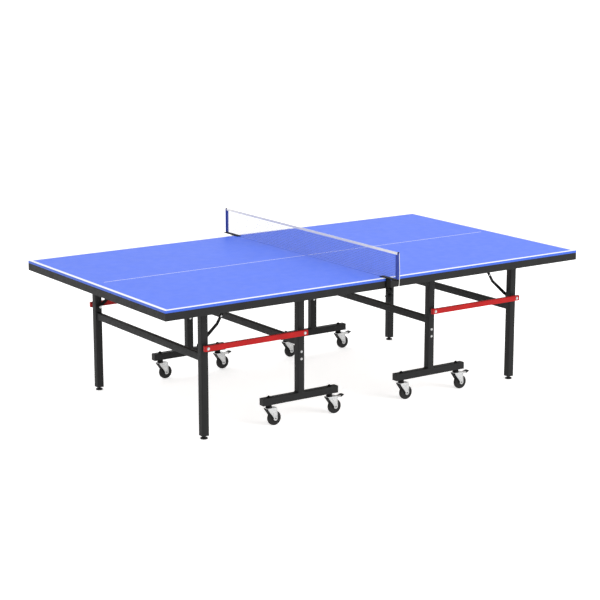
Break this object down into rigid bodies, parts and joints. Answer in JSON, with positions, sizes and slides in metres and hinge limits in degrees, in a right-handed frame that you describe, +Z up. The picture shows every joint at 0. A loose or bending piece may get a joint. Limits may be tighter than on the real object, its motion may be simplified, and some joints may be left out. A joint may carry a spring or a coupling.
{
  "type": "ping pong table",
  "caption": "Folding ping pong table with a blue top in two rolling halves, square steel legs, red link bars, braked casters and a clamp-on net.",
  "frame": {"origin": "on the floor, under the middle of the net", "axes": "+X along the table's length, +Y along the net, +Z up; the front of the table faces -Y"},
  "size_m": [2.74, 1.72, 0.915],
  "materials": {
    "playing_paint": "satin",
    "dark_steel": "satin",
    "red_steel": "satin",
    "black_steel": "satin",
    "zinc": "satin",
    "black_plastic": "matte",
    "rubber": "matte",
    "netting": "matte",
    "tape": "matte",
    "cord": "matte"
  },
  "bodies": {
    "base_left": {"wheel_frame_left": "dark_steel", "t_leg_left_front": "dark_steel", "t_leg_left_back": "dark_steel"},
    "top_left": {"board_left": "playing_paint", "apron_left": "dark_steel", "pivot_channel_left_front": "dark_steel", "pivot_channel_left_back": "dark_steel"},
    "legs_left": {"leg_frame_left": "dark_steel"},
    "links_left": {"link_bar_left_front": "red_steel", "link_bar_left_back": "red_steel"},
    "stay_left_front": {"stay_left_front": "black_steel"},
    "foot_left_front": {"levelling_foot_left_front": "black_plastic"},
    "fork_left_front_1": {"caster_fork_left_front_1": "zinc"},
    "wheel_left_front_1": {"caster_wheel_left_front_1": "rubber"},
    "fork_left_front_2": {"caster_fork_left_front_2": "zinc"},
    "wheel_left_front_2": {"caster_wheel_left_front_2": "rubber"},
    "brake_left_front_2": {"caster_brake_left_front_2": "zinc"},
    "stay_left_back": {"stay_left_back": "black_steel"},
    "foot_left_back": {"levelling_foot_left_back": "black_plastic"},
    "fork_left_back_1": {"caster_fork_left_back_1": "zinc"},
    "wheel_left_back_1": {"caster_wheel_left_back_1": "rubber"},
    "fork_left_back_2": {"caster_fork_left_back_2": "zinc"},
    "wheel_left_back_2": {"caster_wheel_left_back_2": "rubber"},
    "brake_left_back_2": {"caster_brake_left_back_2": "zinc"},
    "base_right": {"wheel_frame_right": "dark_steel", "t_leg_right_front": "dark_steel", "t_leg_right_back": "dark_steel"},
    "top_right": {"board_right": "playing_paint", "apron_right": "dark_steel", "pivot_channel_right_front": "dark_steel", "pivot_channel_right_back": "dark_steel"},
    "legs_right": {"leg_frame_right": "dark_steel"},
    "links_right": {"link_bar_right_front": "red_steel", "link_bar_right_back": "red_steel"},
    "stay_right_front": {"stay_right_front": "black_steel"},
    "foot_right_front": {"levelling_foot_right_front": "black_plastic"},
    "fork_right_front_1": {"caster_fork_right_front_1": "zinc"},
    "wheel_right_front_1": {"caster_wheel_right_front_1": "rubber"},
    "fork_right_front_2": {"caster_fork_right_front_2": "zinc"},
    "wheel_right_front_2": {"caster_wheel_right_front_2": "rubber"},
    "brake_right_front_2": {"caster_brake_right_front_2": "zinc"},
    "stay_right_back": {"stay_right_back": "black_steel"},
    "foot_right_back": {"levelling_foot_right_back": "black_plastic"},
    "fork_right_back_1": {"caster_fork_right_back_1": "zinc"},
    "wheel_right_back_1": {"caster_wheel_right_back_1": "rubber"},
    "fork_right_back_2": {"caster_fork_right_back_2": "zinc"},
    "wheel_right_back_2": {"caster_wheel_right_back_2": "rubber"},
    "brake_right_back_2": {"caster_brake_right_back_2": "zinc"},
    "net_set": {"net_clamp_front": "black_steel", "net_clamp_back": "black_steel", "net_mesh": "netting", "net_tape": "tape", "tension_cord": "cord"},
    "jaw_front": {"clamp_jaw_front": "black_steel"},
    "screw_front": {"clamp_screw_front": "black_steel"},
    "jaw_back": {"clamp_jaw_back": "black_steel"},
    "screw_back": {"clamp_screw_back": "black_steel"}
  },
  "joints": [
    {"name": "halves_apart", "type": "slide", "parent": "base_left", "child": "base_right", "axis": [1, 0, 0], "range_m": [0, 0.5]},
    {"name": "fold_left", "type": "hinge", "parent": "base_left", "child": "top_left", "pos_m": [-0.443, 0, 0.72], "axis": [0, 1, 0], "range_deg": [0, 82]},
    {"name": "link_swing_left", "type": "hinge", "parent": "base_left", "child": "links_left", "pos_m": [-0.443, 0, 0.492], "axis": [0, 1, 0], "range_deg": [0, 82]},
    {"name": "leg_swing_left", "type": "hinge", "parent": "top_left", "child": "legs_left", "pos_m": [-1.043, 0, 0.72], "axis": [0, 1, 0], "range_deg": [-82, 0]},
    {"name": "stay_unhook_left_front", "type": "hinge", "parent": "top_left", "child": "stay_left_front", "pos_m": [-0.855, -0.536, 0.72], "axis": [0, 1, 0], "range_deg": [0, 12]},
    {"name": "foot_level_left_front", "type": "slide", "parent": "legs_left", "child": "foot_left_front", "axis": [0, 0, -1], "range_m": [0, 0.015]},
    {"name": "caster_swivel_left_front_1", "type": "hinge", "parent": "base_left", "child": "fork_left_front_1", "pos_m": [-0.64, -0.5735, 0.1], "axis": [0, 0, 1], "continuous": true},
    {"name": "wheel_spin_left_front_1", "type": "hinge", "parent": "fork_left_front_1", "child": "wheel_left_front_1", "pos_m": [-0.607, -0.5735, 0.04], "axis": [0, 1, 0], "continuous": true},
    {"name": "caster_swivel_left_front_2", "type": "hinge", "parent": "base_left", "child": "fork_left_front_2", "pos_m": [-0.246, -0.5735, 0.1], "axis": [0, 0, 1], "continuous": true},
    {"name": "wheel_spin_left_front_2", "type": "hinge", "parent": "fork_left_front_2", "child": "wheel_left_front_2", "pos_m": [-0.213, -0.5735, 0.04], "axis": [0, 1, 0], "continuous": true},
    {"name": "brake_press_left_front_2", "type": "hinge", "parent": "fork_left_front_2", "child": "brake_left_front_2", "pos_m": [-0.228, -0.5735, 0.0885], "axis": [0, 1, 0], "range_deg": [0, 10]},
    {"name": "stay_unhook_left_back", "type": "hinge", "parent": "top_left", "child": "stay_left_back", "pos_m": [-0.855, 0.536, 0.72], "axis": [0, 1, 0], "range_deg": [0, 12]},
    {"name": "foot_level_left_back", "type": "slide", "parent": "legs_left", "child": "foot_left_back", "axis": [0, 0, -1], "range_m": [0, 0.015]},
    {"name": "caster_swivel_left_back_1", "type": "hinge", "parent": "base_left", "child": "fork_left_back_1", "pos_m": [-0.64, 0.5735, 0.1], "axis": [0, 0, 1], "continuous": true},
    {"name": "wheel_spin_left_back_1", "type": "hinge", "parent": "fork_left_back_1", "child": "wheel_left_back_1", "pos_m": [-0.607, 0.5735, 0.04], "axis": [0, 1, 0], "continuous": true},
    {"name": "caster_swivel_left_back_2", "type": "hinge", "parent": "base_left", "child": "fork_left_back_2", "pos_m": [-0.246, 0.5735, 0.1], "axis": [0, 0, 1], "continuous": true},
    {"name": "wheel_spin_left_back_2", "type": "hinge", "parent": "fork_left_back_2", "child": "wheel_left_back_2", "pos_m": [-0.213, 0.5735, 0.04], "axis": [0, 1, 0], "continuous": true},
    {"name": "brake_press_left_back_2", "type": "hinge", "parent": "fork_left_back_2", "child": "brake_left_back_2", "pos_m": [-0.228, 0.5735, 0.0885], "axis": [0, 1, 0], "range_deg": [0, 10]},
    {"name": "fold_right", "type": "hinge", "parent": "base_right", "child": "top_right", "pos_m": [0.443, 0, 0.72], "axis": [0, -1, 0], "range_deg": [0, 82]},
    {"name": "link_swing_right", "type": "hinge", "parent": "base_right", "child": "links_right", "pos_m": [0.443, 0, 0.492], "axis": [0, -1, 0], "range_deg": [0, 82]},
    {"name": "leg_swing_right", "type": "hinge", "parent": "top_right", "child": "legs_right", "pos_m": [1.043, 0, 0.72], "axis": [0, -1, 0], "range_deg": [-82, 0]},
    {"name": "stay_unhook_right_front", "type": "hinge", "parent": "top_right", "child": "stay_right_front", "pos_m": [0.855, -0.536, 0.72], "axis": [0, -1, 0], "range_deg": [0, 12]},
    {"name": "foot_level_right_front", "type": "slide", "parent": "legs_right", "child": "foot_right_front", "axis": [0, 0, -1], "range_m": [0, 0.015]},
    {"name": "caster_swivel_right_front_1", "type": "hinge", "parent": "base_right", "child": "fork_right_front_1", "pos_m": [0.246, -0.5735, 0.1], "axis": [0, 0, 1], "continuous": true},
    {"name": "wheel_spin_right_front_1", "type": "hinge", "parent": "fork_right_front_1", "child": "wheel_right_front_1", "pos_m": [0.279, -0.5735, 0.04], "axis": [0, 1, 0], "continuous": true},
    {"name": "caster_swivel_right_front_2", "type": "hinge", "parent": "base_right", "child": "fork_right_front_2", "pos_m": [0.64, -0.5735, 0.1], "axis": [0, 0, 1], "continuous": true},
    {"name": "wheel_spin_right_front_2", "type": "hinge", "parent": "fork_right_front_2", "child": "wheel_right_front_2", "pos_m": [0.673, -0.5735, 0.04], "axis": [0, 1, 0], "continuous": true},
    {"name": "brake_press_right_front_2", "type": "hinge", "parent": "fork_right_front_2", "child": "brake_right_front_2", "pos_m": [0.658, -0.5735, 0.0885], "axis": [0, 1, 0], "range_deg": [0, 10]},
    {"name": "stay_unhook_right_back", "type": "hinge", "parent": "top_right", "child": "stay_right_back", "pos_m": [0.855, 0.536, 0.72], "axis": [0, -1, 0], "range_deg": [0, 12]},
    {"name": "foot_level_right_back", "type": "slide", "parent": "legs_right", "child": "foot_right_back", "axis": [0, 0, -1], "range_m": [0, 0.015]},
    {"name": "caster_swivel_right_back_1", "type": "hinge", "parent": "base_right", "child": "fork_right_back_1", "pos_m": [0.246, 0.5735, 0.1], "axis": [0, 0, 1], "continuous": true},
    {"name": "wheel_spin_right_back_1", "type": "hinge", "parent": "fork_right_back_1", "child": "wheel_right_back_1", "pos_m": [0.279, 0.5735, 0.04], "axis": [0, 1, 0], "continuous": true},
    {"name": "caster_swivel_right_back_2", "type": "hinge", "parent": "base_right", "child": "fork_right_back_2", "pos_m": [0.64, 0.5735, 0.1], "axis": [0, 0, 1], "continuous": true},
    {"name": "wheel_spin_right_back_2", "type": "hinge", "parent": "fork_right_back_2", "child": "wheel_right_back_2", "pos_m": [0.673, 0.5735, 0.04], "axis": [0, 1, 0], "continuous": true},
    {"name": "brake_press_right_back_2", "type": "hinge", "parent": "fork_right_back_2", "child": "brake_right_back_2", "pos_m": [0.658, 0.5735, 0.0885], "axis": [0, 1, 0], "range_deg": [0, 10]},
    {"name": "net_lift", "type": "slide", "parent": "base_left", "child": "net_set", "axis": [0, 0, 1], "range_m": [0, 0.2]},
    {"name": "jaw_swing_front", "type": "hinge", "parent": "net_set", "child": "jaw_front", "pos_m": [0, -0.778, 0.692], "axis": [-1, 0, 0], "range_deg": [-90, 0]},
    {"name": "screw_back_off_front", "type": "slide", "parent": "jaw_front", "child": "screw_front", "axis": [0, 1, 0], "range_m": [-0.006, 0]},
    {"name": "jaw_swing_back", "type": "hinge", "parent": "net_set", "child": "jaw_back", "pos_m": [0, 0.778, 0.692], "axis": [1, 0, 0], "range_deg": [-90, 0]},
    {"name": "screw_back_off_back", "type": "slide", "parent": "jaw_back", "child": "screw_back", "axis": [0, -1, 0], "range_m": [-0.006, 0]}
  ],
  "couplings": [
    {"joint": "link_swing_left", "follows": "fold_left", "ratio": 1},
    {"joint": "leg_swing_left", "follows": "fold_left", "ratio": -1},
    {"joint": "link_swing_right", "follows": "fold_right", "ratio": 1},
    {"joint": "leg_swing_right", "follows": "fold_right", "ratio": -1}
  ]
}
